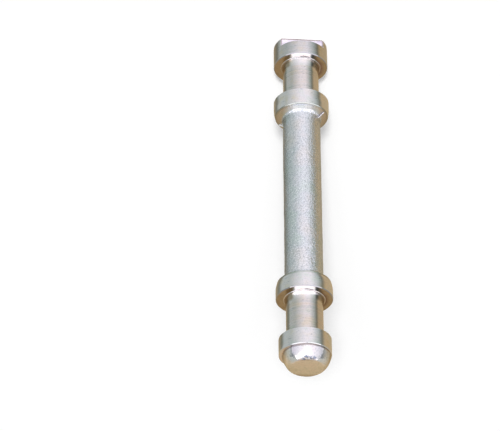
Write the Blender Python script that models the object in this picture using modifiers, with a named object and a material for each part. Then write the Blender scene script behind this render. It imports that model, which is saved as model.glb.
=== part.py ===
import math

import bmesh
import bpy

MM = 0.001

# Sizes along the axis
HEAD_LENGTH = 8.0 * MM
NECK_LENGTH = 14.3 * MM
COLLAR_LENGTH = 5.9 * MM
SHANK_LENGTH = 63.8 * MM
NOSE_HEAD_LENGTH = 5.8 * MM
NOSE_HEIGHT = 4.1 * MM

# Radii
HEAD_RADIUS = 8.85 * MM
NOSE_HEAD_RADIUS = 8.25 * MM
NECK_RADIUS = 5.85 * MM
COLLAR_RADIUS = 9.0 * MM
SHANK_RADIUS = 6.1 * MM
NOSE_BASE_RADIUS = 7.5 * MM
NOSE_END_RADIUS = 5.3 * MM

# Forged side of the collars
LAND_SHARE = 0.5
DRAFT_DROP = 0.35 * MM
FORGED_EDGE_RADIUS = 0.45 * MM
FACE_SLOPE_DEG = 24.0
SHANK_FILLET = 1.5 * MM

# Turned edges
HEAD_END_CHAMFER = 0.35 * MM
RIM_CHAMFER = 0.2 * MM
COLLAR_CHAMFER = 0.25 * MM
NECK_FILLET = 0.5 * MM
NOSE_NECK_FILLET = 0.8 * MM

# Flared foot of a neck, with a bead where it meets the shoulder
FLARE_LENGTH = 3.0 * MM
BEAD_OUT = 0.55 * MM
BEAD_HEIGHT = 0.28 * MM
BEAD_START_DEG = 120.0

# Flat on the head
FLAT_DISTANCE = 5.4 * MM
FLAT_LENGTH = 3.0 * MM

# Pressed nose: how boxy its edge is, and how far it sits off the axis
NOSE_ROUNDNESS = 1.36
NOSE_SIDE_OFFSET = 0.42 * MM
NOSE_BACK_OFFSET = 0.28 * MM

# Flash ribs
RIB_TURN_DEG = 58.5
RIB_WIDTH = 0.9 * MM
RIB_HEIGHT = 1.2 * MM
RIB_FOOT_HEIGHT = 0.25 * MM
RIB_EDGE = 0.18 * MM
RIB_RIM_GAP = 0.45 * MM
RIB_TOP_SHARE = 0.5

# Resolution
TURN_STEPS = 64
ARC_STEPS = 4
FLARE_STEPS = 6
OVERLAP = 0.6 * MM
MERGE_DISTANCE = 0.001 * MM

# Metal
METAL_COLOUR = (0.60, 0.59, 0.57, 1.0)
METAL_ROUGHNESS = 0.28
METALLIC = 1.0
SHARP_ANGLE_DEG = 30.0

# Heights of the shoulders above the head's end face
HEAD_TOP = HEAD_LENGTH
COLLAR_SEAT = HEAD_TOP + NECK_LENGTH
COLLAR_TOP = COLLAR_SEAT + COLLAR_LENGTH
UPPER_COLLAR_FOOT = COLLAR_TOP + SHANK_LENGTH
UPPER_COLLAR_SEAT = UPPER_COLLAR_FOOT + COLLAR_LENGTH
NOSE_HEAD_FOOT = UPPER_COLLAR_SEAT + NECK_LENGTH
NOSE_HEAD_TOP = NOSE_HEAD_FOOT + NOSE_HEAD_LENGTH


def clear_scene():
    for item in list(bpy.data.objects):
        bpy.data.objects.remove(item, do_unlink=True)


def collection(name):
    made = bpy.data.collections.new(name)
    bpy.context.scene.collection.children.link(made)
    return made


def metal(name):
    made = bpy.data.materials.new(name)
    made.use_nodes = True
    shader = made.node_tree.nodes["Principled BSDF"]
    shader.inputs["Base Color"].default_value = METAL_COLOUR
    shader.inputs["Roughness"].default_value = METAL_ROUGHNESS
    shader.inputs["Metallic"].default_value = METALLIC
    return made


def arc(centre_r, centre_z, radius, start_deg, end_deg):
    points = []
    for step in range(ARC_STEPS + 1):
        angle = math.radians(start_deg + (end_deg - start_deg) * step / ARC_STEPS)
        points.append((centre_r + radius * math.cos(angle), centre_z + radius * math.sin(angle)))
    return points


def forged_side():
    """Outer side of a collar from its land to the shank, as (radius, height above the seat)."""
    slope = math.radians(FACE_SLOPE_DEG)
    land_end = COLLAR_LENGTH * LAND_SHARE
    edge_start = COLLAR_LENGTH - FORGED_EDGE_RADIUS
    points = []
    for step in range(ARC_STEPS + 1):
        share = step / ARC_STEPS
        drop = DRAFT_DROP * share * share
        points.append((COLLAR_RADIUS - drop, land_end + (edge_start - land_end) * share))
    edge_r = COLLAR_RADIUS - DRAFT_DROP - FORGED_EDGE_RADIUS
    edge = arc(edge_r, edge_start, FORGED_EDGE_RADIUS, 0.0, 90.0 - FACE_SLOPE_DEG)
    points.extend(edge[1:])
    face_r, face_z = edge[-1]
    fillet_turn = math.tan(math.radians(45.0) - slope / 2.0)
    foot_r = SHANK_RADIUS + SHANK_FILLET * fillet_turn * math.cos(slope)
    foot_z = face_z + (face_r - foot_r) * math.tan(slope)
    centre_r = SHANK_RADIUS + SHANK_FILLET
    centre_z = foot_z + SHANK_FILLET * math.cos(slope)
    points.extend(arc(centre_r, centre_z, SHANK_FILLET, 270.0 - FACE_SLOPE_DEG, 180.0))
    return points


def neck_top(height, fillet):
    """Fillet from the shoulder at the given height down into the neck."""
    return arc(NECK_RADIUS + fillet, height - fillet, fillet, 90.0, 180.0)


def flared_foot(height):
    """Neck widening downwards to the small bead that meets the shoulder at its foot."""
    bead = arc(NECK_RADIUS + BEAD_OUT, height, BEAD_HEIGHT, BEAD_START_DEG, 0.0)
    spread = bead[0][0] - NECK_RADIUS
    drop = height + FLARE_LENGTH - bead[0][1]
    points = []
    for step in range(FLARE_STEPS + 1):
        share = step / FLARE_STEPS
        points.append((NECK_RADIUS + spread * share * share, height + FLARE_LENGTH - drop * share))
    points.extend(bead[1:])
    return points


def body_profile():
    """Outer side of the turned body from the nose head down to the flat head."""
    points = [(0.0, NOSE_HEAD_TOP)]
    points.append((NOSE_HEAD_RADIUS - RIM_CHAMFER, NOSE_HEAD_TOP))
    points.append((NOSE_HEAD_RADIUS, NOSE_HEAD_TOP - RIM_CHAMFER))
    points.append((NOSE_HEAD_RADIUS, NOSE_HEAD_FOOT + RIM_CHAMFER))
    points.append((NOSE_HEAD_RADIUS - RIM_CHAMFER, NOSE_HEAD_FOOT))
    points.extend(neck_top(NOSE_HEAD_FOOT, NOSE_NECK_FILLET))
    points.extend(flared_foot(UPPER_COLLAR_SEAT))
    points.append((COLLAR_RADIUS - COLLAR_CHAMFER, UPPER_COLLAR_SEAT))
    points.append((COLLAR_RADIUS, UPPER_COLLAR_SEAT - COLLAR_CHAMFER))
    side = forged_side()
    points.extend((radius, UPPER_COLLAR_SEAT - height) for radius, height in side)
    points.extend((radius, COLLAR_SEAT + height) for radius, height in reversed(side))
    points.append((COLLAR_RADIUS, COLLAR_SEAT + COLLAR_CHAMFER))
    points.append((COLLAR_RADIUS - COLLAR_CHAMFER, COLLAR_SEAT))
    points.extend(neck_top(COLLAR_SEAT, NECK_FILLET))
    points.extend(flared_foot(HEAD_TOP))
    points.append((HEAD_RADIUS - RIM_CHAMFER, HEAD_TOP))
    points.append((HEAD_RADIUS, HEAD_TOP - RIM_CHAMFER))
    points.append((HEAD_RADIUS, HEAD_END_CHAMFER))
    points.append((HEAD_RADIUS - HEAD_END_CHAMFER, 0.0))
    points.append((0.0, 0.0))
    return points


def nose_profile():
    """Outer side of the pressed nose, sunk a little into the head below it."""
    points = [(0.0, NOSE_HEAD_TOP + NOSE_HEIGHT)]
    steps = 2 * ARC_STEPS
    power = 2.0 / NOSE_ROUNDNESS
    spread = NOSE_BASE_RADIUS - NOSE_END_RADIUS
    points.append((NOSE_END_RADIUS, NOSE_HEAD_TOP + NOSE_HEIGHT))
    for step in range(steps - 1, -1, -1):
        angle = math.radians(90.0 * step / steps)
        radius = NOSE_END_RADIUS + spread * math.cos(angle) ** power
        points.append((radius, NOSE_HEAD_TOP + NOSE_HEIGHT * math.sin(angle) ** power))
    points.append((NOSE_BASE_RADIUS, NOSE_HEAD_TOP - OVERLAP))
    points.append((0.0, NOSE_HEAD_TOP - OVERLAP))
    return points


def turned(name, points, home):
    """Profile turned about the upright axis."""
    mesh = bpy.data.meshes.new(name)
    shape = bmesh.new()
    corners = [shape.verts.new((radius, 0.0, height)) for radius, height in points]
    for first, second in zip(corners, corners[1:]):
        shape.edges.new((first, second))
    shape.to_mesh(mesh)
    shape.free()
    made = bpy.data.objects.new(name, mesh)
    home.objects.link(made)
    screw = made.modifiers.new("turn", "SCREW")
    screw.axis = "Z"
    screw.angle = math.radians(360.0)
    screw.screw_offset = 0.0
    screw.steps = TURN_STEPS
    screw.render_steps = TURN_STEPS
    screw.use_merge_vertices = True
    screw.merge_threshold = MERGE_DISTANCE
    screw.use_normal_calculate = True
    return made


def block(name, low, high, home):
    """Box between two corners, with its scale applied."""
    bpy.ops.object.select_all(action="DESELECT")
    middle = [(a + b) / 2.0 for a, b in zip(low, high)]
    spread = [b - a for a, b in zip(low, high)]
    bpy.ops.mesh.primitive_cube_add(size=1.0, location=middle, scale=spread)
    made = bpy.context.object
    bpy.ops.object.transform_apply(location=True, rotation=True, scale=True)
    made.name = name
    for owner in list(made.users_collection):
        owner.objects.unlink(made)
    home.objects.link(made)
    return made


def rib(name, turn_deg, home):
    """Radial wedge on the forged face, high at the shank and low at the rim."""
    face_low = COLLAR_TOP - OVERLAP
    outer = COLLAR_RADIUS - DRAFT_DROP - RIB_RIM_GAP
    inner = SHANK_RADIUS - OVERLAP
    slope_rise = (outer - SHANK_RADIUS) * math.tan(math.radians(FACE_SLOPE_DEG))
    top = COLLAR_TOP + slope_rise + RIB_HEIGHT
    made = block(name, (inner, -RIB_WIDTH / 2.0, face_low), (outer, RIB_WIDTH / 2.0, top), home)
    for corner in made.data.vertices:
        at_top = corner.co.z > (face_low + top) / 2.0
        at_rim = corner.co.x > (inner + outer) / 2.0
        if at_top and at_rim:
            corner.co.z = COLLAR_TOP + RIB_FOOT_HEIGHT
        if at_top:
            corner.co.y *= RIB_TOP_SHARE
    angle = math.radians(-90.0 - turn_deg)
    for corner in made.data.vertices:
        x, y = corner.co.x, corner.co.y
        corner.co.x = x * math.cos(angle) - y * math.sin(angle)
        corner.co.y = x * math.sin(angle) + y * math.cos(angle)
    bevel = made.modifiers.new("edges", "BEVEL")
    bevel.width = RIB_EDGE
    bevel.segments = 2
    bevel.limit_method = "ANGLE"
    return made


def combine(target, tool, operation):
    joint = target.modifiers.new(tool.name, "BOOLEAN")
    joint.operation = operation
    joint.solver = "EXACT"
    joint.object = tool
    tool.hide_render = True
    tool.display_type = "WIRE"


def settle(made):
    """Apply the cuts and joins, then shade the round faces smooth between sharp edges."""
    bpy.ops.object.select_all(action="DESELECT")
    bpy.context.view_layer.objects.active = made
    made.select_set(True)
    for step in list(made.modifiers):
        bpy.ops.object.modifier_apply(modifier=step.name)
    made.data.shade_smooth()
    made.data.set_sharp_from_angle(angle=math.radians(SHARP_ANGLE_DEG))


def build():
    clear_scene()
    parts = collection("forged_shaft")
    tools = collection("forged_shaft_tools")
    body = turned("shaft_body", body_profile(), parts)
    nose = turned("nose", nose_profile(), tools)
    nose.location = (-NOSE_SIDE_OFFSET, NOSE_BACK_OFFSET, 0.0)
    reach = 2.0 * HEAD_RADIUS
    flat = block("flat_cutter", (-reach, -reach, -reach), (reach, -FLAT_DISTANCE, FLAT_LENGTH), tools)
    combine(body, nose, "UNION")
    combine(body, rib("rib_one", RIB_TURN_DEG, tools), "UNION")
    combine(body, rib("rib_two", RIB_TURN_DEG + 180.0, tools), "UNION")
    combine(body, flat, "DIFFERENCE")
    body.data.materials.append(metal("plated_steel"))
    settle(body)


build()
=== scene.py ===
import math

import bpy
from mathutils import Matrix, Vector


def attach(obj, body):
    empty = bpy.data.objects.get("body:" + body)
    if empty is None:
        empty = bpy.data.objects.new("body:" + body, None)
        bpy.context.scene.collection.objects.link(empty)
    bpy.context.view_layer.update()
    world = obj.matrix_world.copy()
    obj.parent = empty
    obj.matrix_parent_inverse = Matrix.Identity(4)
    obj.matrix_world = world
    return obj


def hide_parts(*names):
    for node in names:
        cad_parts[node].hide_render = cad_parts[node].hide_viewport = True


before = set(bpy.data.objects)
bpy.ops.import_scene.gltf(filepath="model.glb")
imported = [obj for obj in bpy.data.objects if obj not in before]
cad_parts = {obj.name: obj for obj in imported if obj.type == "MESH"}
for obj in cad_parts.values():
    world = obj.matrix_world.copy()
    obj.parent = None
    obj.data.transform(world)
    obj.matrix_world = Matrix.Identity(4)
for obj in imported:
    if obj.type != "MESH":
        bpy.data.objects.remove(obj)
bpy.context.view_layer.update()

MM = 0.001

# Shaft, from the flat head's end face up to the nose
HEAD_TOP = 8.0 * MM
COLLAR_SEAT = 22.3 * MM
COLLAR_TOP = 28.2 * MM
UPPER_COLLAR_FOOT = 92.2 * MM
UPPER_COLLAR_SEAT = 97.9 * MM
NOSE_HEAD_FOOT = 112.2 * MM
NOSE_HEAD_TOP = 118.0 * MM
NOSE_HEIGHT = 4.1 * MM

HEAD_RADIUS = 8.85 * MM
NOSE_HEAD_RADIUS = 8.25 * MM
NECK_RADIUS = 5.85 * MM
COLLAR_RADIUS = 9.0 * MM
SHANK_RADIUS = 6.1 * MM
NOSE_BASE_RADIUS = 7.7 * MM
NOSE_END_RADIUS = 5.3 * MM
NOSE_ROUNDNESS = 1.36
NOSE_OFFSET = (-0.42 * MM, 0.28 * MM)

DRAFT_DROP = 0.35 * MM
FORGED_EDGE_RADIUS = 0.45 * MM
FACE_SLOPE_DEG = 24.0
SHANK_FILLET = 1.5 * MM
FACE_STEP = 0.02 * MM
FACE_STEP_WIDTH = 0.12 * MM
FACE_STEP_SHARE = 0.3
LAND_SHARE = 0.5
NECK_FILLET = 0.5 * MM
RING_RADIUS = 6.4 * MM
RING_HEIGHT = 0.28 * MM
FLARE_LENGTH = 3.0 * MM
FLARE_STEPS = 10
BEAD_START_DEG = 120.0
GROOVE_DEPTH = 0.025 * MM
GROOVE_REACH = 0.16 * MM
NECK_GROOVES = (13.2 * MM, 13.9 * MM, 20.6 * MM)
UPPER_NECK_GROOVES = (108.9 * MM, 109.6 * MM, 110.4 * MM)
NOSE_NECK_FILLET = 0.8 * MM
HEAD_END_CHAMFER = 0.35 * MM
RIM_CHAMFER = 0.2 * MM
COLLAR_CHAMFER = 0.25 * MM

FLAT_DISTANCE = 5.4 * MM
FLAT_LENGTH = 3.0 * MM

RIB_TURN_DEG = 58.5

# Dents, and one lump, by height, turn in degrees, depth, height and width; the lengths in millimetres
DENTS = (
    (45.3, -30.0, 0.16, 0.5, 0.4),
    (82.0, 17.5, 0.18, 0.5, 0.7),
    (85.9, 26.0, 0.10, 0.45, 0.40),
    (87.4, 29.0, 0.12, 0.50, 0.40),
    (92.5, 4.0, 0.16, 0.35, 1.9),
    (117.7, -64.0, -0.24, 0.8, 1.6),
)

TURN_STEPS = 216
NOSE_TURN_STEPS = 180
NOSE_ARC_STEPS = 30
NOSE_SEAT = 0.6 * MM
ARC_STEPS = 6

# Reach of the plating's colours along the shaft, and of the painted reflections out to each side of it, in
# millimetres
PLATING_LENGTH = 125.0
PLATING_SIDE = 9.0

# Finishes of the shaft, in the order of its materials
RIMS, SHANK, NECKS, SHOULDER, FLAT, FORGED, SEAT, NOSE_FACE, EDGES = range(9)

# Tints, which multiply the bare metal's, and none at all: a dulled plating, then painted reflections in tan,
# dark and blue
NONE = (0.0, 0.0, 0.0)
PLAIN = (1.0, 1.0, 1.0)
DULLED = (0.78, 0.76, 0.74)
TAN_PAINTED_REFLECTION = (0.50, 0.43, 0.32)
DARK_PAINTED_REFLECTION = (0.32, 0.33, 0.34)
BLUE_PAINTED_REFLECTION = (0.42, 0.44, 0.49)

# Photograph
PHOTO_WIDTH = 500
PHOTO_HEIGHT = 431
FOCAL_PIXELS = 2600.0
SENSOR_MM = 36.0
VIEW_ELEVATION = 33.829
VIEW_AZIMUTH = 6.5
VIEW_ROLL = 0.954
VIEW_DISTANCE = 0.835292
AIM_HEIGHT = 56.0 * MM
AIM_PIXEL = (302.576, 188.962)

# Studio
WORLD_STRENGTH = 0.37
FLOOR_LIFT = 0.155
LAMPS = (("small_lamp", 4.0, 2.9), ("wide_lamp", 15.0, 1.1))
LAMP_SIDE_DEG = 0.35
LAMP_DROP_DEG = 3.2
CARD_STEPS = 64
CARD_LIFT = 0.1 * MM
CARD_REACH = 700.0 * MM
WALL_RADIUS = 500.0 * MM
WALL_HEIGHT = 1060.0 * MM
ROOF_RADIUS = 270.0 * MM
ROOF_HEIGHT = 600.0 * MM
FLAT_CARD_HALF = 7.5 * MM

# Boards round the shaft, by direction from the camera's side in degrees
FRONT_LIGHT = (0.86, 0.83, 0.86)
SIDE_LIGHT = (0.42, 0.46, 0.44)
DARK_BOARD = (0.18, 0.18, 0.14)
TAN_BOARD = (0.46, 0.36, 0.22)
BOARDS = (
    (-180.0, TAN_BOARD),
    (-120.0, DARK_BOARD),
    (-100.0, SIDE_LIGHT),
    (-60.0, SIDE_LIGHT),
    (0.0, FRONT_LIGHT),
    (30.0, FRONT_LIGHT),
    (60.0, SIDE_LIGHT),
    (78.0, DARK_BOARD),
    (95.0, TAN_BOARD),
    (180.0, TAN_BOARD),
)
BOARD_LEVELS = ((0.0, 1.0), (16.0, 1.0), (22.0, 1.2), (700.0, 1.2))


def place_camera():
    """Look down the shaft from above its nose, with the far head at the top of the picture."""
    elevation = math.radians(VIEW_ELEVATION)
    azimuth = math.radians(VIEW_AZIMUTH)
    back = Vector((
        math.sin(azimuth) * math.cos(elevation),
        -math.cos(azimuth) * math.cos(elevation),
        math.sin(elevation),
    ))
    side = Vector((0.0, 0.0, 1.0)).cross(back).normalized()
    rise = back.cross(side)
    upside_down = Matrix((-side, -rise, back))
    roll = Matrix.Rotation(math.radians(VIEW_ROLL), 3, "Z")
    across = AIM_PIXEL[0] - PHOTO_WIDTH / 2.0
    up = PHOTO_HEIGHT / 2.0 - AIM_PIXEL[1]
    aim = Vector((across, up, -FOCAL_PIXELS)).normalized()
    turn = Vector((0.0, 0.0, -1.0)).rotation_difference(aim).to_matrix()
    to_camera = turn @ roll @ upside_down
    data = bpy.data.cameras.new("camera")
    data.sensor_width = SENSOR_MM
    data.lens = FOCAL_PIXELS * SENSOR_MM / PHOTO_WIDTH
    data.clip_start = 0.01
    camera = bpy.data.objects.new("camera", data)
    bpy.context.scene.collection.objects.link(camera)
    place = to_camera.transposed().to_4x4()
    place.translation = Vector((0.0, 0.0, AIM_HEIGHT)) + back * VIEW_DISTANCE
    camera.matrix_world = place
    bpy.context.scene.camera = camera


def deselect():
    bpy.ops.object.select_all(action="DESELECT")


def arc(centre_r, centre_z, radius, start_deg, end_deg):
    points = []
    for step in range(ARC_STEPS + 1):
        angle = math.radians(start_deg + (end_deg - start_deg) * step / ARC_STEPS)
        points.append((centre_r + radius * math.cos(angle), centre_z + radius * math.sin(angle)))
    return points


def run(start, end, pitch):
    """Points along a straight stretch of the profile, without its first one."""
    length = math.hypot(end[0] - start[0], end[1] - start[1])
    count = max(1, round(length / pitch))
    return [
        (start[0] + (end[0] - start[0]) * n / count, start[1] + (end[1] - start[1]) * n / count)
        for n in range(1, count + 1)
    ]


def join(*stretches):
    """One profile out of several, with straight runs of short steps between them."""
    points = list(stretches[0])
    for pitch, stretch in zip(stretches[1::2], stretches[2::2]):
        points.extend(run(points[-1], stretch[0], pitch))
        points.extend(stretch[1:])
    return points


def forged_side():
    """Outer side of a collar from its land to the shank, as (radius, height above the seat)."""
    length = COLLAR_TOP - COLLAR_SEAT
    slope = math.radians(FACE_SLOPE_DEG)
    land_end = length * LAND_SHARE
    edge_start = length - FORGED_EDGE_RADIUS
    points = []
    for step in range(ARC_STEPS + 1):
        share = step / ARC_STEPS
        height = land_end + (edge_start - land_end) * share
        points.append((COLLAR_RADIUS - DRAFT_DROP * share * share, height))
    edge_r = COLLAR_RADIUS - DRAFT_DROP - FORGED_EDGE_RADIUS
    edge = arc(edge_r, edge_start, FORGED_EDGE_RADIUS, 0.0, 90.0 - FACE_SLOPE_DEG)
    points.extend(edge[1:])
    face_r, face_z = edge[-1]
    foot_r = SHANK_RADIUS + SHANK_FILLET * math.tan(math.radians(45.0) - slope / 2.0) * math.cos(slope)
    foot_z = face_z + (face_r - foot_r) * math.tan(slope)
    step_r = face_r + (foot_r - face_r) * FACE_STEP_SHARE
    step_z = face_z + (foot_z - face_z) * FACE_STEP_SHARE
    points.extend(run((face_r, face_z), (step_r, step_z), 0.3 * MM))
    points.append((step_r - FACE_STEP_WIDTH, step_z - FACE_STEP))
    points.append((step_r - 2.0 * FACE_STEP_WIDTH, step_z + FACE_STEP))
    points.extend(run(points[-1], (foot_r, foot_z), 0.3 * MM))
    centre_z = foot_z + SHANK_FILLET * math.cos(slope)
    fillet = arc(SHANK_RADIUS + SHANK_FILLET, centre_z, SHANK_FILLET, 270.0 - FACE_SLOPE_DEG, 180.0)
    points.extend(fillet[1:])
    return points


def grooved(start_z, end_z, grooves):
    """A neck's side, from its upper end down, with the fine grooves that the lathe left in it."""
    points = [(NECK_RADIUS, start_z)]
    for middle in sorted(grooves, reverse=True):
        points.extend(run(points[-1], (NECK_RADIUS, middle + GROOVE_REACH), 0.5 * MM))
        points.append((NECK_RADIUS - GROOVE_DEPTH, middle))
        points.append((NECK_RADIUS, middle - GROOVE_REACH))
    points.extend(run(points[-1], (NECK_RADIUS, end_z), 0.5 * MM))
    return points


def flared_foot(face_z):
    """A neck widening downwards to the small bead that meets the face at its foot."""
    points = []
    bead = arc(RING_RADIUS, face_z, RING_HEIGHT, BEAD_START_DEG, 0.0)
    spread = bead[0][0] - NECK_RADIUS
    drop = face_z + FLARE_LENGTH - bead[0][1]
    for step in range(FLARE_STEPS + 1):
        share = step / FLARE_STEPS
        points.append((NECK_RADIUS + spread * share * share, face_z + FLARE_LENGTH - drop * share))
    points.extend(bead[1:])
    return points


def shaft_profile():
    """Outer side of the turned and forged body, from the nose head down to the flat head."""
    top_edge = [
        (0.0, NOSE_HEAD_TOP),
        (NOSE_HEAD_RADIUS - RIM_CHAMFER, NOSE_HEAD_TOP),
        (NOSE_HEAD_RADIUS, NOSE_HEAD_TOP - RIM_CHAMFER),
    ]
    side = forged_side()
    fine = 0.6 * MM
    upper_neck_top = NOSE_HEAD_FOOT - NOSE_NECK_FILLET
    upper_neck_foot = UPPER_COLLAR_SEAT + FLARE_LENGTH
    return join(
        top_edge,
        fine,
        [(NOSE_HEAD_RADIUS, NOSE_HEAD_FOOT + RIM_CHAMFER), (NOSE_HEAD_RADIUS - RIM_CHAMFER, NOSE_HEAD_FOOT)],
        fine,
        arc(NECK_RADIUS + NOSE_NECK_FILLET, upper_neck_top, NOSE_NECK_FILLET, 90.0, 180.0),
        fine,
        grooved(upper_neck_top - fine, upper_neck_foot + fine, UPPER_NECK_GROOVES),
        fine,
        flared_foot(UPPER_COLLAR_SEAT),
        fine,
        [
            (COLLAR_RADIUS - COLLAR_CHAMFER, UPPER_COLLAR_SEAT),
            (COLLAR_RADIUS, UPPER_COLLAR_SEAT - COLLAR_CHAMFER),
        ],
        fine,
        [(radius, UPPER_COLLAR_SEAT - height) for radius, height in side],
        0.37 * MM,
        [(radius, COLLAR_SEAT + height) for radius, height in reversed(side)],
        fine,
        [(COLLAR_RADIUS, COLLAR_SEAT + COLLAR_CHAMFER), (COLLAR_RADIUS - COLLAR_CHAMFER, COLLAR_SEAT)],
        fine,
        arc(NECK_RADIUS + NECK_FILLET, COLLAR_SEAT - NECK_FILLET, NECK_FILLET, 90.0, 180.0),
        fine,
        grooved(COLLAR_SEAT - NECK_FILLET - fine, HEAD_TOP + FLARE_LENGTH + fine, NECK_GROOVES),
        fine,
        flared_foot(HEAD_TOP),
        fine,
        [(HEAD_RADIUS - RIM_CHAMFER, HEAD_TOP), (HEAD_RADIUS, HEAD_TOP - RIM_CHAMFER)],
        fine,
        [(HEAD_RADIUS, HEAD_END_CHAMFER), (HEAD_RADIUS - HEAD_END_CHAMFER, 0.0)],
        fine,
        [(0.0, 0.0)],
    )


def turn(name, points, steps):
    """Draw a profile point by point and spin it round the shaft's axis."""
    deselect()
    first = points[0]
    bpy.ops.mesh.primitive_plane_add(size=MM, location=(first[0], 0.0, first[1]))
    made = bpy.context.object
    made.name = name
    bpy.ops.object.mode_set(mode="EDIT")
    bpy.ops.mesh.select_all(action="SELECT")
    bpy.ops.mesh.merge(type="CENTER")
    for here, there in zip(points, points[1:]):
        step = (there[0] - here[0], 0.0, there[1] - here[1])
        bpy.ops.mesh.extrude_region_move(TRANSFORM_OT_translate={"value": step})
    bpy.ops.mesh.select_all(action="SELECT")
    bpy.ops.mesh.spin(steps=steps, angle=math.tau, center=(0.0, 0.0, 0.0), axis=(0.0, 0.0, 1.0))
    bpy.ops.mesh.select_all(action="SELECT")
    bpy.ops.mesh.remove_doubles(threshold=0.000002)
    bpy.ops.mesh.normals_make_consistent(inside=False)
    bpy.ops.object.mode_set(mode="OBJECT")
    bpy.ops.object.transform_apply(location=True, rotation=True, scale=True)
    return made


def crumple(made, size, depth, group=""):
    """Push the surface in and out by soft lumps of the given size."""
    lumps = bpy.data.textures.new(made.name + "_lumps", "CLOUDS")
    lumps.noise_scale = size
    lumps.noise_depth = 2
    push = made.modifiers.new("lumps", "DISPLACE")
    push.texture = lumps
    push.texture_coords = "LOCAL"
    push.strength = depth
    push.mid_level = 0.5
    push.vertex_group = group
    apply_all(made)


def apply_all(made):
    deselect()
    bpy.context.view_layer.objects.active = made
    made.select_set(True)
    for step in list(made.modifiers):
        bpy.ops.object.modifier_apply(modifier=step.name)
    made.select_set(False)


def group_where(made, name, inside):
    """A vertex group of the points that a test of (radius, height, point) picks."""
    group = made.vertex_groups.new(name=name)
    for corner in made.data.vertices:
        share = inside(math.hypot(corner.co.x, corner.co.y), corner.co.z, corner.co)
        if share > 0.0:
            group.add([corner.index], share, "REPLACE")
    return name


def smooth(made, angle_deg):
    for face in made.data.polygons:
        face.use_smooth = True
    made.data.set_sharp_from_angle(angle=math.radians(angle_deg))


def shear_flat(made):
    """Cut the flat into the head with a block whose face is as uneven as a sheared one."""
    deselect()
    reach = 12.0 * MM
    middle = -FLAT_DISTANCE - reach / 2.0
    bpy.ops.mesh.primitive_cube_add(
        size=1.0,
        location=(0.0, middle, FLAT_LENGTH - reach / 2.0),
        scale=(2.0 * reach, reach, reach),
    )
    block = bpy.context.object
    block.name = "flat_block"
    bpy.ops.object.transform_apply(location=True, rotation=True, scale=True)
    bpy.ops.object.mode_set(mode="EDIT")
    bpy.ops.mesh.select_all(action="SELECT")
    bpy.ops.mesh.subdivide(number_cuts=46)
    bpy.ops.object.mode_set(mode="OBJECT")
    crumple(block, 0.9 * MM, 0.14 * MM)
    crumple(block, 3.5 * MM, 0.26 * MM)
    cut = made.modifiers.new("flat", "BOOLEAN")
    cut.operation = "DIFFERENCE"
    cut.solver = "EXACT"
    cut.object = block
    apply_all(made)
    bpy.data.objects.remove(block)


def nose_profile():
    """Outer side of the pressed nose, sunk a little into the head below it."""
    top = NOSE_HEAD_TOP + NOSE_HEIGHT
    points = [(0.0, top)]
    points.extend(run(points[0], (NOSE_END_RADIUS, top), 0.25 * MM))
    power = 2.0 / NOSE_ROUNDNESS
    spread = NOSE_BASE_RADIUS - NOSE_END_RADIUS
    for step in range(NOSE_ARC_STEPS - 1, -1, -1):
        angle = math.radians(90.0 * step / NOSE_ARC_STEPS)
        radius = NOSE_END_RADIUS + spread * math.cos(angle) ** power
        points.append((radius, NOSE_HEAD_TOP + NOSE_HEIGHT * math.sin(angle) ** power))
    points.extend(run(points[-1], (NOSE_BASE_RADIUS, NOSE_HEAD_TOP - NOSE_SEAT), 0.3 * MM))
    points.append((0.0, NOSE_HEAD_TOP - NOSE_SEAT))
    return points


def on_nose_edge(_radius, _height, point):
    """Full on the nose's rounded edge, next to none on its end face."""
    away = math.hypot(point.x - NOSE_OFFSET[0], point.y - NOSE_OFFSET[1])
    return 0.1 + 0.9 * max(0.0, min(1.0, (away - 4.6 * MM) / MM))


def pressed_nose():
    made = turn("nose", nose_profile(), NOSE_TURN_STEPS)
    for corner in made.data.vertices:
        corner.co.x += NOSE_OFFSET[0]
        corner.co.y += NOSE_OFFSET[1]
    edge = group_where(made, "edge", on_nose_edge)
    crumple(made, 1.0 * MM, 0.05 * MM, edge)
    crumple(made, 3.2 * MM, 0.26 * MM, edge)
    return made


def dent(made, height, turn_deg, depth, tall, wide):
    """Push a small dent into the side, or a lump out of it, turned to the right of the seen side."""
    toward = math.radians(VIEW_AZIMUTH - 90.0 - turn_deg)
    for corner in made.data.vertices:
        radius = math.hypot(corner.co.x, corner.co.y)
        rise = (corner.co.z - height) / tall
        if radius < 0.5 * MM or abs(rise) > 3.0:
            continue
        turn_by = math.atan2(corner.co.y, corner.co.x) - toward
        along = radius * math.atan2(math.sin(turn_by), math.cos(turn_by)) / wide
        if abs(along) > 3.0:
            continue
        push = depth * math.exp(-rise * rise - along * along) / radius
        corner.co.x -= corner.co.x * push
        corner.co.y -= corner.co.y * push


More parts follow.
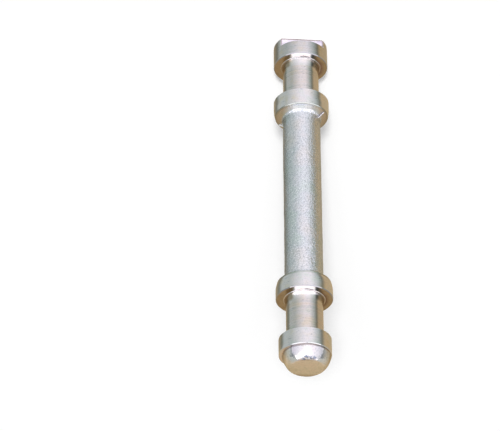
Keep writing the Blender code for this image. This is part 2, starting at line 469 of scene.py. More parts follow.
def flash_rib(name, turn_deg):
    """A torn wedge of flash on the collar's forged face, high at the shank and low at the rim."""
    deselect()
    inner = SHANK_RADIUS - 0.5 * MM
    outer = COLLAR_RADIUS - DRAFT_DROP - 0.35 * MM
    low = COLLAR_TOP - 0.6 * MM
    high = COLLAR_TOP + 2.1 * MM
    bpy.ops.mesh.primitive_cube_add(
        size=1.0,
        location=((inner + outer) / 2.0, 0.0, (low + high) / 2.0),
        scale=(outer - inner, 0.7 * MM, high - low),
    )
    rib = bpy.context.object
    rib.name = name
    bpy.ops.object.transform_apply(location=True, rotation=True, scale=True)
    middle = (low + high) / 2.0
    for corner in rib.data.vertices:
        if corner.co.z > middle:
            corner.co.y *= 0.4
            if corner.co.x > (inner + outer) / 2.0:
                corner.co.z = COLLAR_TOP + 0.35 * MM
    bpy.ops.object.mode_set(mode="EDIT")
    bpy.ops.mesh.select_all(action="SELECT")
    bpy.ops.mesh.bevel(offset=0.14 * MM, segments=3, affect="EDGES")
    bpy.ops.mesh.select_all(action="SELECT")
    bpy.ops.mesh.subdivide(number_cuts=5)
    angle = math.radians(-90.0 - turn_deg)
    bpy.ops.object.mode_set(mode="OBJECT")
    rib.rotation_euler.z = angle
    bpy.ops.object.transform_apply(location=True, rotation=True, scale=True)
    crumple(rib, 0.7 * MM, 0.22 * MM)
    return rib


class Recipe:
    """A material's nodes, laid down one after another."""

    def __init__(self, name):
        self.material = bpy.data.materials.new(name)
        self.material.use_nodes = True
        self.nodes = self.material.node_tree.nodes
        self.links = self.material.node_tree.links
        self.shader = self.nodes["Principled BSDF"]
        self.place = self.nodes.new("ShaderNodeTexCoord").outputs["Object"]

    def put(self, socket, value):
        if isinstance(value, bpy.types.NodeSocket):
            self.links.new(value, socket)
        else:
            socket.default_value = value

    def maths(self, operation, first, second=0.0):
        node = self.nodes.new("ShaderNodeMath")
        node.operation = operation
        self.put(node.inputs[0], first)
        self.put(node.inputs[1], second)
        return node.outputs[0]

    def span(self, value, low, high, to_low=0.0, to_high=1.0):
        node = self.nodes.new("ShaderNodeMapRange")
        self.put(node.inputs["Value"], value)
        node.inputs["From Min"].default_value = low
        node.inputs["From Max"].default_value = high
        node.inputs["To Min"].default_value = to_low
        node.inputs["To Max"].default_value = to_high
        return node.outputs["Result"]

    def axes(self):
        return self.links_out("ShaderNodeSeparateXYZ", self.place)

    def links_out(self, kind, source):
        node = self.nodes.new(kind)
        self.links.new(source, node.inputs[0])
        return node.outputs

    def radius(self):
        x, y, _ = self.axes()
        return self.maths("SQRT", self.maths("ADD", self.times(x, x), self.times(y, y)))

    def along(self):
        """Distance along the profile: it grows up the sides and outwards over the faces."""
        return self.maths("ADD", self.axes()[2], self.radius())

    def noise(self, size, detail=2.0, roughness=0.5, where=None):
        node = self.nodes.new("ShaderNodeTexNoise")
        self.links.new(where or self.place, node.inputs["Vector"])
        node.inputs["Scale"].default_value = 1.0 / size
        node.inputs["Detail"].default_value = detail
        node.inputs["Roughness"].default_value = roughness
        return node.outputs[0]

    def rings(self, size, detail=2.0):
        """Marks that run round the shaft, with a spacing of about the given size."""
        node = self.nodes.new("ShaderNodeTexNoise")
        node.noise_dimensions = "1D"
        self.links.new(self.along(), node.inputs["W"])
        node.inputs["Scale"].default_value = 1.0 / size
        node.inputs["Detail"].default_value = detail
        return node.outputs[0]

    def drawn_out(self, share):
        """Object coordinates squeezed round the shaft, so that marks come out long that way."""
        node = self.nodes.new("ShaderNodeMapping")
        self.links.new(self.place, node.inputs["Vector"])
        node.inputs["Scale"].default_value = (share, share, 1.0)
        return node.outputs["Vector"]

    def plating(self, *stops):
        """Plating colour along the shaft, by height in millimetres."""
        share = self.span(self.axes()[2], 0.0, PLATING_LENGTH * MM)
        return self.ramp(share, *[(height / PLATING_LENGTH, colour) for height, colour in stops])

    def across(self, *stops):
        """Painted reflections across the shaft, by x in millimetres."""
        share = self.span(self.axes()[0], -PLATING_SIDE * MM, PLATING_SIDE * MM)
        return self.ramp(share, *[(0.5 + at / (2.0 * PLATING_SIDE), colour) for at, colour in stops])

    def times(self, first, second):
        return self.maths("MULTIPLY", first, second)

    def tinted(self, colour, tint, share=1.0):
        """A colour multiplied by a tint, over a share of the surface."""
        return self.mix(share, colour, tint, "MULTIPLY")

    def by_reach(self, away, stops):
        """A level that changes with the distance from the axis, given in millimetres."""
        far = stops[-1][0]
        share = self.maths("DIVIDE", away, far * MM)
        return self.ramp(share, *[(at / far, (level,) * 3) for at, level in stops])

    def cells(self, size):
        node = self.nodes.new("ShaderNodeTexVoronoi")
        self.links.new(self.place, node.inputs["Vector"])
        node.inputs["Scale"].default_value = 1.0 / size
        return node.outputs

    def ramp(self, value, *stops):
        node = self.nodes.new("ShaderNodeValToRGB")
        self.put(node.inputs["Fac"], value)
        points = node.color_ramp.elements
        ends = ((points[0], stops[0]), (points[1], stops[-1]))
        for point, (at, colour) in ends:
            point.position = at
            point.color = (*colour, 1.0)
        for at, colour in stops[1:-1]:
            points.new(at).color = (*colour, 1.0)
        return node.outputs["Color"]

    def mix(self, share, first, second, blend="MIX"):
        node = self.nodes.new("ShaderNodeMix")
        node.data_type = "RGBA"
        node.blend_type = blend
        self.put(node.inputs["Factor"], share)
        for socket, value in ((node.inputs[6], first), (node.inputs[7], second)):
            if isinstance(value, bpy.types.NodeSocket):
                self.links.new(value, socket)
            else:
                socket.default_value = (*value, 1.0)
        return node.outputs[2]

    def bump(self, height, distance, under=None):
        node = self.nodes.new("ShaderNodeBump")
        self.links.new(height, node.inputs["Height"])
        node.inputs["Distance"].default_value = distance
        if under is not None:
            self.links.new(under, node.inputs["Normal"])
        return node.outputs["Normal"]

    def finish(self, colour, roughness, normal):
        self.put(self.shader.inputs["Base Color"], colour)
        self.put(self.shader.inputs["Roughness"], roughness)
        self.shader.inputs["Metallic"].default_value = 1.0
        self.links.new(normal, self.shader.inputs["Normal"])
        return self.material


def turned_metal(name, silver, roughness, depth, ringed_by, plating=(), painted_feet_bands=()):
    """Plated metal with the lathe's rings, short scratches along them, a drift of plating colour and a
    painted shadow along the far head's end.

    Each foot is a stretch of height that wears painted reflections across the shaft.
    """
    metal = Recipe(name)
    drift = metal.noise(4.0 * MM, 2.0)
    tint = metal.ramp(
        drift,
        (0.32, (0.90, 0.95, 0.92)),
        (0.46, (0.98, 0.97, 1.00)),
        (0.58, (1.00, 0.97, 0.96)),
        (0.70, (1.00, 0.94, 0.84)),
    )
    broad = metal.rings(1.1 * MM, 3.0)
    ringed = metal.ramp(broad, (0.30, (0.78, 0.83, 0.82)), (0.5, (1.0, 1.0, 1.0)), (0.70, (1.0, 0.93, 0.86)))
    fine = metal.rings(0.22 * MM, 2.0)
    lined = metal.ramp(fine, (0.30, (0.80, 0.80, 0.84)), (0.45, (1.0, 1.0, 1.0)), (0.70, (1.0, 0.97, 0.92)))
    marks = metal.noise(0.42 * MM, 3.0, 0.6, metal.drawn_out(0.24))
    scratched = metal.ramp(marks, (0.27, (0.50, 0.53, 0.60)), (0.38, (1.0, 1.0, 1.0)))
    frost = metal.noise(0.40 * MM, 2.0, 0.6)
    frosted = metal.ramp(frost, (0.30, (0.82, 0.83, 0.84)), (0.5, (1.0, 1.0, 1.0)))
    # Mask of a painted shadow over the lowest 0.4 mm, at the far head's end
    edge = metal.span(metal.axes()[2], 0.12 * MM, 0.42 * MM)
    colour = metal.tinted(silver, tint)
    if plating:
        colour = metal.tinted(colour, metal.plating(*plating))
    bare = colour
    colour = metal.tinted(colour, ringed, ringed_by)
    colour = metal.tinted(colour, lined, ringed_by)
    colour = metal.tinted(colour, scratched, 0.8)
    colour = metal.tinted(colour, frosted, 0.6)
    z = metal.axes()[2]
    # Painted reflections across each neck's foot, mixed with the bare plated metal
    for low, high, tones in painted_feet_bands:
        above = metal.span(z, low + 0.18 * MM, low + 0.30 * MM)
        within = metal.times(above, metal.span(z, high - 1.0 * MM, high, 1.0, 0.0))
        painted_foot_bands = metal.tinted(metal.mix(0.3, bare, colour), metal.across(*tones))
        colour = metal.mix(within, colour, painted_foot_bands)
    # Painted shadow: dark brown along the far head's end
    colour = metal.mix(edge, (0.20, 0.15, 0.12), colour)
    rough = metal.span(broad, 0.3, 0.7, roughness * 0.75, roughness * 1.35)
    normal = metal.bump(fine, depth)
    normal = metal.bump(broad, depth * 2.0, normal)
    normal = metal.bump(marks, 0.015 * MM, normal)
    normal = metal.bump(frost, 0.005 * MM, normal)
    return metal.finish(colour, rough, normal)


def faced_metal(name, silver, roughness, plating, inner=PLAIN, mark=()):
    """A shoulder faced on the lathe: fine circles, with painted reflections, silver in front and browner at
    both sides of the neck.

    The plating's colours go across the shaft as painted reflections. The inner tint is painted shade by the
    neck on its right. The mark is a dark line beside the bead, from one x to another in millimetres.
    """
    metal = Recipe(name)
    drift = metal.noise(2.6 * MM, 3.0)
    golden = metal.ramp(drift, (0.35, (0.86, 0.83, 0.80)), (0.5, (1.0, 1.0, 1.0)), (0.66, (1.0, 0.94, 0.86)))
    x = metal.axes()[0]
    # Mask of the painted shade next to the neck, on its right
    by_neck = metal.span(metal.radius(), 6.9 * MM, 7.9 * MM, 1.0, 0.0)
    shaded = metal.times(by_neck, metal.span(x, -5.4 * MM, -4.2 * MM, 1.0, 0.0))
    fine = metal.rings(0.26 * MM, 3.0)
    lined = metal.ramp(fine, (0.30, (0.82, 0.80, 0.78)), (0.5, (1.0, 1.0, 1.0)))
    colour = metal.tinted(silver, golden)
    # Painted reflections across the shaft, then the painted shade by the neck
    colour = metal.tinted(colour, metal.across(*plating))
    colour = metal.tinted(colour, inner, shaded)
    colour = metal.tinted(colour, lined, 0.5)
    if mark:
        start, end = mark
        marked = metal.span(metal.radius(), 6.40 * MM, 6.50 * MM)
        for limit in (
            metal.span(metal.radius(), 6.95 * MM, 7.15 * MM, 1.0, 0.0),
            metal.span(x, start * MM, (start + 0.5) * MM),
            metal.span(x, (end - 0.5) * MM, end * MM, 1.0, 0.0),
            metal.span(metal.axes()[1], -3.0 * MM, -1.0 * MM, 1.0, 0.0),
        ):
            marked = metal.times(marked, limit)
        colour = metal.mix(marked, colour, (0.12, 0.11, 0.14))
    rough = metal.span(fine, 0.3, 0.7, roughness * 0.8, roughness * 1.3)
    normal = metal.bump(fine, 0.010 * MM)
    return metal.finish(colour, rough, normal)


def blasted_metal(name, silver, roughness, depth, pitted, painted_side_reflection, edge_tint):
    """Plated forging skin: shot-blasted grain over a soft drift of colour, with painted glints, a painted
    reflection tint out at both sides and painted shade on the rim.
    """
    metal = Recipe(name)
    metal.shader.inputs["Specular Tint"].default_value = (*edge_tint, 1.0)
    drift = metal.noise(7.0 * MM, 3.0)
    tint = metal.ramp(
        drift,
        (0.34, (0.89, 0.95, 0.94)),
        (0.46, (0.94, 0.96, 1.00)),
        (0.56, (1.00, 0.98, 1.00)),
        (0.68, (1.00, 0.96, 0.95)),
    )
    grain = metal.noise(0.50 * MM, 3.0, 0.7)
    pits = metal.cells(0.75 * MM)[0]
    # Painted glints: small dots mixed towards white in the colour
    painted_glints = metal.ramp(metal.cells(0.62 * MM)[0], (0.10, (0.75, 0.75, 0.75)), (0.24, (0.0, 0.0, 0.0)))
    speck = metal.ramp(
        grain,
        (0.33, (0.55, 0.57, 0.60)),
        (0.44, (0.87, 0.88, 0.90)),
        (0.56, (0.97, 0.97, 0.98)),
        (0.66, (1.00, 1.00, 1.00)),
    )
    colour = metal.tinted(silver, tint)
    colour = metal.tinted(colour, speck, pitted)
    colour = metal.mix(metal.times(painted_glints, pitted), colour, (1.0, 1.0, 1.0))
    # Painted reflection tint out at both sides
    out = metal.span(metal.maths("ABSOLUTE", metal.axes()[0]), 4.6 * MM, 6.6 * MM)
    colour = metal.tinted(colour, painted_side_reflection, out)
    # Painted shade over the forged rim, which dims its highlight
    rim = metal.span(metal.radius(), 8.0 * MM, 8.35 * MM)
    colour = metal.tinted(colour, (0.74, 0.76, 0.72), rim)
    rough = metal.span(grain, 0.3, 0.7, roughness * 1.3, roughness * 0.8)
    normal = metal.bump(grain, depth)
    normal = metal.bump(pits, depth * 0.5, normal)
    return metal.finish(colour, rough, normal)


def pressed_metal(name, silver, roughness):
    """The nose: smooth on its end, with painted reflections and shade down both sides and a dark ragged line
    along its front edge.
    """
    metal = Recipe(name)
    top = NOSE_HEAD_TOP + NOSE_HEIGHT
    drift = metal.noise(3.4 * MM, 3.0)
    tint = metal.ramp(drift, (0.34, (0.92, 0.92, 0.88)), (0.5, PLAIN), (0.68, (1.0, 0.96, 0.96)))
    grain = metal.noise(0.5 * MM, 3.0, 0.6)
    grained = metal.ramp(grain, (0.32, (0.80, 0.83, 0.85)), (0.5, PLAIN))
    x, y, z = metal.axes()
    ragged = metal.span(metal.noise(1.0 * MM, 3.0, 0.65), 0.25, 0.75, -0.8 * MM, 0.8 * MM)
    ragged_x = metal.maths("ADD", x, metal.times(ragged, 0.3))
    ragged_z = metal.maths("ADD", z, metal.times(ragged, 0.7))
    # Painted reflections: bands across the nose's front, tan at both sides and blue between
    painted_flank_reflections = metal.ramp(
        metal.span(ragged_x, -8.0 * MM, 8.0 * MM),
        (0.0, (0.70, 0.62, 0.50)),
        (0.13, (0.84, 0.80, 0.76)),
        (0.22, BLUE_PAINTED_REFLECTION),
        (0.50, (0.85, 0.85, 0.87)),
        (0.78, BLUE_PAINTED_REFLECTION),
        (0.84, PLAIN),
        (1.0, (0.78, 0.74, 0.66)),
    )
    aside = metal.maths("ABSOLUTE", metal.maths("SUBTRACT", x, NOSE_OFFSET[0]))
    aside = metal.maths("MAXIMUM", metal.maths("SUBTRACT", aside, 3.0 * MM), 0.0)
    edge = metal.maths("ADD", ragged_z, metal.times(aside, 0.35))
    below = metal.span(edge, top - 0.75 * MM, top - 0.35 * MM, 1.0, 0.0)
    slant = metal.maths("SUBTRACT", ragged_z, metal.times(metal.maths("MAXIMUM", x, 0.0), 0.4))
    greyed = metal.span(slant, top - 2.9 * MM, top - 2.0 * MM, 1.0, 0.0)
    greyed = metal.maths("MAXIMUM", greyed, metal.span(x, -0.6 * MM, 0.6 * MM, 1.0, 0.0))
    behind = metal.maths("SUBTRACT", y, metal.times(x, 0.13))
    in_front = metal.span(behind, -3.6 * MM, -2.4 * MM, 1.0, 0.0)
    share = metal.times(metal.times(below, greyed), in_front)
    # Mask of the painted shadow at the nose's foot, in front
    foot = metal.span(z, NOSE_HEAD_TOP + 0.2 * MM, NOSE_HEAD_TOP + 0.5 * MM, 1.0, 0.0)
    # A dark ragged line along the nose's front edge
    scale = metal.ramp(metal.noise(0.9 * MM, 3.0, 0.7), (0.38, NONE), (0.48, PLAIN))
    height = metal.span(ragged_z, top - 1.6 * MM, top)
    band = metal.ramp(height, (0.40, NONE), (0.54, PLAIN), (0.97, PLAIN), (1.0, (0.8, 0.8, 0.8)))
    reach = metal.span(x, -6.0 * MM, 3.0 * MM)
    beside = metal.ramp(reach, (0.05, NONE), (0.16, PLAIN), (0.78, PLAIN), (0.90, NONE))
    dark_ragged_line = metal.tinted(metal.tinted(scale, band), beside)
    dark_ragged_line = metal.times(dark_ragged_line, metal.span(behind, -4.9 * MM, -4.5 * MM, 1.0, 0.0))
    # Painted reflection: tan towards the nose's far side
    depth = metal.span(y, -5.5 * MM, 6.0 * MM)
    painted_far_side_reflection = metal.ramp(depth, (0.0, PLAIN), (0.80, (0.92, 0.92, 0.86)), (1.0, TAN_PAINTED_REFLECTION))
    colour = metal.tinted(silver, tint)
    colour = metal.tinted(colour, grained)
    colour = metal.tinted(colour, painted_far_side_reflection)
    colour = metal.tinted(colour, painted_flank_reflections, share)
    # Painted shadow along the nose's foot, in front
    foot = metal.times(foot, in_front)
    colour = metal.tinted(colour, (0.66, 0.64, 0.65), foot)
    # Painted shadow just under the front of the nose's top edge
    painted_lip_shadow = metal.span(ragged_z, top - 0.55 * MM, top - 0.25 * MM)
    painted_lip_shadow = metal.times(painted_lip_shadow, metal.span(behind, -4.7 * MM, -4.2 * MM, 1.0, 0.0))
    colour = metal.tinted(colour, (0.70, 0.64, 0.60), painted_lip_shadow)
    # Painted reflection: tan out at both sides of the nose
    off_middle = metal.maths("ABSOLUTE", metal.maths("SUBTRACT", x, NOSE_OFFSET[0]))
    colour = metal.tinted(colour, (0.68, 0.61, 0.50), metal.span(off_middle, 6.4 * MM, 7.2 * MM))
    # Painted shade down the nose's right side
    right = metal.span(x, -7.0 * MM, -5.4 * MM, 1.0, 0.0)
    colour = metal.tinted(colour, (0.76, 0.74, 0.68), right)
    colour = metal.mix(dark_ragged_line, colour, (0.22, 0.25, 0.33))
    rough = metal.span(grain, 0.3, 0.7, roughness * 1.2, roughness * 0.8)
    normal = metal.bump(grain, 0.02 * MM)
    return metal.finish(colour, rough, normal)


def torn_metal(name, silver, roughness):
    """Torn flash: painted shade at its foot, bright along its crest."""
    metal = Recipe(name)
    grain = metal.noise(0.5 * MM, 2.0)
    x, _, z = metal.axes()
    crest = metal.maths("ADD", z, metal.times(metal.radius(), 0.65))
    crest = metal.maths("ADD", crest, metal.span(grain, 0.0, 1.0, -0.3 * MM, 0.3 * MM))
    crest = metal.maths("ADD", crest, metal.span(x, -1.0 * MM, 1.0 * MM, -0.15 * MM, 0.45 * MM))
    height = metal.span(crest, COLLAR_TOP + 4.8 * MM, COLLAR_TOP + 5.8 * MM)
    # Painted shade at the foot, rising to the bright metal along the crest
    colour = metal.ramp(
        height,
        (0.10, (0.16, 0.14, 0.14)),
        (0.50, (0.30, 0.29, 0.31)),
        (0.74, (0.66, 0.65, 0.68)),
        (0.95, silver),
    )
    normal = metal.bump(grain, 0.05 * MM)
    return metal.finish(colour, metal.span(grain, 0.3, 0.7, roughness * 0.8, roughness * 1.3), normal)


def sheared_metal(name, silver, roughness):
    """The flat's face: dull, torn in small waves, with a painted shadow along its outer edge."""
    metal = Recipe(name)
    grain = metal.noise(0.5 * MM, 3.0, 0.6)
    waves = metal.noise(1.6 * MM, 2.0)
    dulled = metal.ramp(waves, (0.36, (0.86, 0.84, 0.90)), (0.5, (1.0, 1.0, 1.0)))
    x, _, z = metal.axes()
    # Painted shadow along the flat's outer edge
    edge = metal.span(z, 0.10 * MM, 0.50 * MM)
    edge = metal.times(edge, metal.span(metal.maths("ABSOLUTE", x), 6.5 * MM, 6.9 * MM, 1.0, 0.0))
    colour = metal.tinted(silver, dulled)
    colour = metal.mix(edge, (0.22, 0.15, 0.13), colour)
    rough = metal.span(grain, 0.3, 0.7, roughness * 0.8, roughness * 1.2)
    normal = metal.bump(grain, 0.06 * MM)
    normal = metal.bump(waves, 0.10 * MM, normal)
    return metal.finish(colour, rough, normal)


def glowing(paint, colour):
    glow = paint.nodes.new("ShaderNodeEmission")
    paint.put(glow.inputs["Color"], colour)
    paint.links.new(glow.outputs[0], paint.nodes["Material Output"].inputs["Surface"])
    return paint.material


def ring_paint(name, stops, reach):
    """Light that the card on the floor gives back, by the way in which the metal's side throws it.

    Its level changes with the distance from the shaft.
    """
    paint = Recipe(name)
    x, y, _ = paint.axes()
    toward = math.radians(VIEW_AZIMUTH - 90.0)
    forward = (math.cos(toward), math.sin(toward))
    side = paint.maths("ADD", paint.times(x, forward[0]), paint.times(y, forward[1]))
    across = paint.maths("ADD", paint.times(x, forward[1]), paint.times(y, -forward[0]))
    place = paint.maths("ARCTAN2", across, side)
    away = paint.radius()
    body = paint.span(away, 16.0 * MM, 22.0 * MM, HEAD_RADIUS, SHANK_RADIUS)
    wider = COLLAR_RADIUS - SHANK_RADIUS
    for start, end, change in ((37.0, 41.0, wider), (49.0, 53.0, -wider)):
        body = paint.maths("ADD", body, paint.span(away, start * MM, end * MM, 0.0, change))
    near = paint.maths("DIVIDE", body, away)
    thrown = paint.maths("DIVIDE", place, paint.maths("SUBTRACT", 1.0, paint.times(near, 0.5)))
    for _ in range(2):
        half = paint.maths("SINE", paint.times(thrown, 0.5))
        thrown = paint.maths("ADD", place, paint.maths("ARCSINE", paint.times(near, half)))
    share = paint.span(thrown, -math.pi, math.pi)
    colour = paint.ramp(share, *round_stops(*stops))
    return glowing(paint, paint.tinted(colour, paint.by_reach(away, reach)))


def bearing(paint):
    """Direction round the shaft's axis, from 0 to 1 for -180 to 180 degrees."""
    x, y, _ = paint.axes()
    return paint.span(paint.maths("ARCTAN2", y, x), -math.pi, math.pi)


def round_stops(*stops):
    return [((degrees + 180.0) / 360.0, colour) for degrees, colour in stops]


def hide_card(card):
    """A card shows in the metal only."""
    card.visible_camera = False
    card.visible_diffuse = False
    card.visible_shadow = False
    card.visible_transmission = False


def swept_card(name, start, end, from_deg, to_deg, paint):
    """A line swept round the shaft's axis, between two directions."""
    deselect()
    bpy.ops.mesh.primitive_plane_add(size=MM, location=(start[0], 0.0, start[1]))
    card = bpy.context.object
    card.name = name
    bpy.ops.object.mode_set(mode="EDIT")
    bpy.ops.mesh.select_all(action="SELECT")
    bpy.ops.mesh.merge(type="CENTER")
    step = (end[0] - start[0], 0.0, end[1] - start[1])
    bpy.ops.mesh.extrude_region_move(TRANSFORM_OT_translate={"value": step})
    bpy.ops.mesh.select_all(action="SELECT")
    angle = -math.radians(to_deg - from_deg)
    bpy.ops.mesh.spin(steps=CARD_STEPS, angle=angle, center=(0.0, 0.0, 0.0), axis=(0.0, 0.0, 1.0))
    bpy.ops.mesh.select_all(action="SELECT")
    bpy.ops.mesh.remove_doubles(threshold=0.000002)
    bpy.ops.object.mode_set(mode="OBJECT")
    bpy.ops.object.transform_apply(location=True, rotation=False, scale=False)
    card.rotation_euler.z = math.radians(from_deg)
    bpy.ops.object.transform_apply(location=True, rotation=True, scale=True)
    card.data.materials.append(paint)
    hide_card(card)
    return card


def back_paint(name, height):
    """The card behind: warm in the middle, greyer towards both ends, paler above."""
    paint = Recipe(name)
    x, y, z = paint.axes()
    opposite = paint.maths("ARCTAN2", paint.times(y, -1.0), paint.times(x, -1.0))
    round_it = paint.span(opposite, -math.pi, math.pi)
    grey = (0.50, 0.54, 0.54)
    warm = (0.60, 0.47, 0.30)
    tone = paint.ramp(
        round_it,
        *round_stops((-180.0, grey), (-130.0, warm), (-50.0, warm), (10.0, grey), (180.0, grey)),
    )
    share = paint.span(z, 0.0, height)
    rise = paint.ramp(share, (0.28, (0.80, 0.80, 0.80)), (0.46, (1.0, 1.0, 1.0)), (0.55, (1.05, 1.10, 1.50)))
    middle = paint.ramp(
        round_it,
        *round_stops((-122.0, NONE), (-104.0, PLAIN), (-64.0, PLAIN), (-46.0, NONE)),
    )
    return glowing(paint, paint.tinted(tone, rise, middle))


def roof_paint(name):
    """The card above: white, greyer and warmer out at its rim."""
    paint = Recipe(name)
    share = paint.span(paint.radius(), 0.0, ROOF_RADIUS)
    return glowing(paint, paint.ramp(share, (0.66, (1.0, 1.0, 1.0)), (1.0, (0.50, 0.42, 0.38))))


def front_paint(name):
    """The bright card on the camera's side, with a darker strip along part of its upper edge."""
    paint = Recipe(name)
    strip = paint.span(paint.axes()[2], 568.0 * MM, 582.0 * MM)
    part = paint.ramp(
        bearing(paint),
        *round_stops((-165.0, NONE), (-150.0, PLAIN), (-96.0, PLAIN), (-84.0, NONE)),
    )
    return glowing(paint, paint.mix(paint.times(strip, part), (1.55, 1.50, 1.56), (0.16, 0.16, 0.22)))


def flat_card():
    """A small card at the foot of the flat, brighter towards both ends."""
    deselect()
    low = FLAT_DISTANCE + 0.45 * MM
    high = HEAD_RADIUS + 0.1 * MM
    bpy.ops.mesh.primitive_plane_add(size=1.0, location=(0.0, -(low + high) / 2.0, 0.12 * MM))
    card = bpy.context.object
    card.name = "flat_card"
    card.scale = (2.0 * FLAT_CARD_HALF, high - low, 1.0)
    bpy.ops.object.transform_apply(location=True, rotation=True, scale=True)
    paint = Recipe("flat_card")
    across = paint.span(paint.axes()[0], -FLAT_CARD_HALF, FLAT_CARD_HALF)
    tone = paint.ramp(across, (0.0, (1.1, 1.05, 1.2)), (0.4, (0.72, 0.68, 0.76)), (1.0, (1.2, 1.15, 1.3)))
    card.data.materials.append(glowing(paint, tone))
    hide_card(card)


def floor_paint():
    """Pale floor that the camera, metal and glass see as white, with the object's shadow on it."""
    paint = bpy.data.materials.new("floor_paint")
    paint.use_nodes = True
    nodes = paint.node_tree.nodes
    links = paint.node_tree.links
    shader = nodes["Principled BSDF"]
    shader.inputs["Base Color"].default_value = (0.85, 0.85, 0.85, 1.0)
    shader.inputs["Roughness"].default_value = 0.9
    shader.inputs["Specular IOR Level"].default_value = 0.0
    shader.inputs["Emission Color"].default_value = (1.0, 1.0, 1.0, 1.0)
    rays = nodes.new("ShaderNodeLightPath")
    seen = rays.outputs["Is Camera Ray"]
    for kind in ("Is Glossy Ray", "Is Transmission Ray"):
        either = nodes.new("ShaderNodeMath")
        either.operation = "MAXIMUM"
        links.new(seen, either.inputs[0])
        links.new(rays.outputs[kind], either.inputs[1])
        seen = either.outputs[0]
    lift = nodes.new("ShaderNodeMath")
    lift.operation = "MULTIPLY"
    lift.inputs[1].default_value = FLOOR_LIFT
    links.new(seen, lift.inputs[0])
    links.new(lift.outputs[0], shader.inputs["Emission Strength"])
    return paint


def soft_lamp(name, spread_deg, strength):
    """A soft lamp from the camera's side: it gives the soft shadows along both sides of the shaft."""
    data = bpy.data.lights.new(name, "SUN")
    data.angle = math.radians(spread_deg)
    data.energy = strength
    lamp = bpy.data.objects.new(name, data)
    bpy.context.scene.collection.objects.link(lamp)
    camera = bpy.context.scene.camera.matrix_world.translation
    side = Vector((0.0, 0.0, 1.0)).cross(camera).normalized()
    toward = camera - Vector((0.0, 0.0, AIM_HEIGHT))
    toward = Matrix.Rotation(math.radians(LAMP_DROP_DEG), 3, side) @ toward
    toward += side * VIEW_DISTANCE * math.tan(math.radians(LAMP_SIDE_DEG))
    lamp.rotation_euler = toward.to_track_quat("Z", "Y").to_euler()
    lamp.visible_glossy = False


def studio():
    deselect()
    bpy.ops.mesh.primitive_plane_add(size=6.0, location=(0.0, 0.0, 0.0))
    floor = bpy.context.object
    floor.name = "floor"
    floor.data.materials.append(floor_paint())
    world = bpy.data.worlds.new("studio")
    world.use_nodes = True
    world.node_tree.nodes["Background"].inputs["Strength"].default_value = WORLD_STRENGTH
    world.node_tree.nodes["Background"].inputs["Color"].default_value = (1.0, 1.0, 1.0, 1.0)
    bpy.context.scene.world = world
    for name, spread_deg, strength in LAMPS:
        soft_lamp(name, spread_deg, strength)
    ring = ring_paint("floor_card", BOARDS, BOARD_LEVELS)
    swept_card("floor_card", (8.95 * MM, CARD_LIFT), (CARD_REACH, CARD_LIFT), 0.0, 360.0, ring)
    wall = back_paint("back_card", WALL_HEIGHT)
    swept_card("back_card", (WALL_RADIUS, 0.0), (WALL_RADIUS, WALL_HEIGHT), -15.0, 195.0, wall)
    roof = roof_paint("roof_card")
    swept_card("roof_card", (0.5 * MM, ROOF_HEIGHT), (ROOF_RADIUS, ROOF_HEIGHT), 0.0, 360.0, roof)
    front = front_paint("front_card")
    swept_card("front_card", (ROOF_RADIUS, ROOF_HEIGHT), (460.0 * MM, 20.0 * MM), -165.0, -15.0, front)
    flat_card()


def on_forged_skin(_radius, height, _point):
    """Full on the shank and the collars' forged faces, none on the lathe-turned zones."""
    middle = (COLLAR_TOP + UPPER_COLLAR_FOOT) / 2.0
    reach = (UPPER_COLLAR_FOOT - COLLAR_TOP) / 2.0 + 1.2 * MM
    return max(0.0, min(1.0, (reach - abs(height - middle)) / MM))


def finish_of(middle, facing_up):
    """The finish that a face of the shaft wears, by its middle and by how much it faces up."""
    spread = math.hypot(middle.x, middle.y)
    if COLLAR_TOP - 0.5 * MM < middle.z < UPPER_COLLAR_FOOT + 0.5 * MM:
        return SHANK if spread < SHANK_RADIUS + 0.5 * MM else FORGED
    by_bead = spread < RING_RADIUS + 0.02 * MM
    if by_bead and HEAD_TOP + 0.05 * MM < middle.z < NOSE_HEAD_FOOT - 0.2 * MM:
        return NECKS
    at_rims = HEAD_TOP - 1.2 * RIM_CHAMFER < middle.z < UPPER_COLLAR_SEAT and spread > RING_RADIUS
    if at_rims and 0.5 < facing_up < 0.9:
        return EDGES
    if facing_up > 0.9:
        return SHOULDER if middle.z < COLLAR_SEAT else SEAT if middle.z < NOSE_HEAD_FOOT else NOSE_FACE
    in_cut = middle.y < 0.8 * MM - FLAT_DISTANCE and middle.z < FLAT_LENGTH + 0.3 * MM
    if in_cut and abs(facing_up) < 0.85 and spread < HEAD_RADIUS - 0.12 * MM:
        return FLAT
    return RIMS


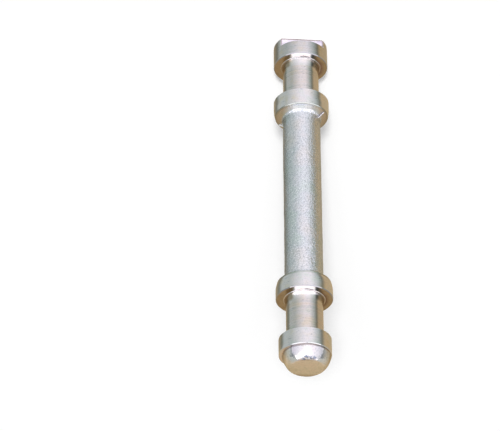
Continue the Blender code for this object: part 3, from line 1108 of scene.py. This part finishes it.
def paint_shaft(made):
    """Give each zone of the shaft the finish that its making left there, with painted reflections and shade
    laid over several of them.
    """
    # Painted reflections beside the beads: tan and dark bands at the sides, plain in front
    painted_bead_side_reflections = ((-5.0, TAN_PAINTED_REFLECTION), (-3.2, DARK_PAINTED_REFLECTION), (-2.5, PLAIN), (3.6, PLAIN), (4.4, TAN_PAINTED_REFLECTION))
    finishes = (
        turned_metal("turned_rims", (0.82, 0.82, 0.83), 0.10, 0.003 * MM, 0.25),
        blasted_metal(
            "blasted_shank", (0.83, 0.85, 0.86), 0.22, 0.13 * MM, 0.9,
            (0.90, 0.93, 0.98), (0.80, 0.86, 0.95),
        ),
        turned_metal(
            "turned_necks", (0.97, 0.96, 0.97), 0.10, 0.006 * MM, 0.5,
            ((8.2, PLAIN), (12.5, DULLED), (97.0, DULLED), (98.4, PLAIN), (101.0, DULLED)),
            (
                (HEAD_TOP, HEAD_TOP + 3.0 * MM, painted_bead_side_reflections),
                (UPPER_COLLAR_SEAT, UPPER_COLLAR_SEAT + 2.8 * MM, painted_bead_side_reflections),
            ),
        ),
        # After the painted reflections come the inner tint, painted shade by the neck, and the dark line's
        # span
        faced_metal(
            "faced_shoulder", (0.97, 0.95, 0.95), 0.14, painted_bead_side_reflections, (0.70, 0.60, 0.70), (-2.6, 1.0),
        ),
        sheared_metal("sheared_flat", (0.97, 0.92, 0.98), 0.38),
        blasted_metal(
            "forged_faces", (0.86, 0.87, 0.86), 0.20, 0.02 * MM, 0.25,
            (0.70, 0.64, 0.57), PLAIN,
        ),
        # After the painted reflections come the inner tint, painted shade by the neck, and the dark line's
        # span
        faced_metal("faced_seat", (0.97, 0.95, 0.95), 0.14, painted_bead_side_reflections, (0.62, 0.52, 0.50), (-2.5, 0.8)),
        # Painted reflections across the nose head's face: tan at the right, grey in the middle, pale at the
        # left
        faced_metal(
            "faced_nose_head", (0.93, 0.92, 0.92), 0.17,
            ((-7.0, (0.74, 0.66, 0.53)), (-1.5, (0.55, 0.54, 0.53)), (5.0, (0.95, 0.92, 0.94))),
        ),
        # The chamfers' turned metal at about half brightness: painted shade that dims their highlight
        turned_metal("turned_edges", (0.46, 0.47, 0.50), 0.12, 0.003 * MM, 0.25),
    )
    for finish in finishes:
        made.data.materials.append(finish)
    for face in made.data.polygons:
        face.material_index = finish_of(face.center, face.normal.z)


place_camera()
studio()
shaft = turn("shaft", shaft_profile(), TURN_STEPS)
skin = group_where(shaft, "forged_skin", on_forged_skin)
crumple(shaft, 0.8 * MM, 0.05 * MM, skin)
crumple(shaft, 6.0 * MM, 0.16 * MM, skin)
for height, turn_deg, depth, tall, wide in DENTS:
    dent(shaft, height * MM, turn_deg, depth * MM, tall * MM, wide * MM)
shear_flat(shaft)
paint_shaft(shaft)
smooth(shaft, 35.0)
nose = pressed_nose()
nose.data.materials.append(pressed_metal("pressed_nose", (0.97, 0.94, 0.93), 0.16))
smooth(nose, 60.0)
ribs = [flash_rib("flash_rib_one", RIB_TURN_DEG), flash_rib("flash_rib_two", RIB_TURN_DEG + 180.0)]
for rib in ribs:
    rib.data.materials.append(torn_metal("torn_flash", (0.97, 0.96, 0.98), 0.18))
    smooth(rib, 50.0)
for piece in (shaft, nose, *ribs):
    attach(piece, "root")
    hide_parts("shaft_body")

bpy.context.scene.view_settings.view_transform = "Standard"
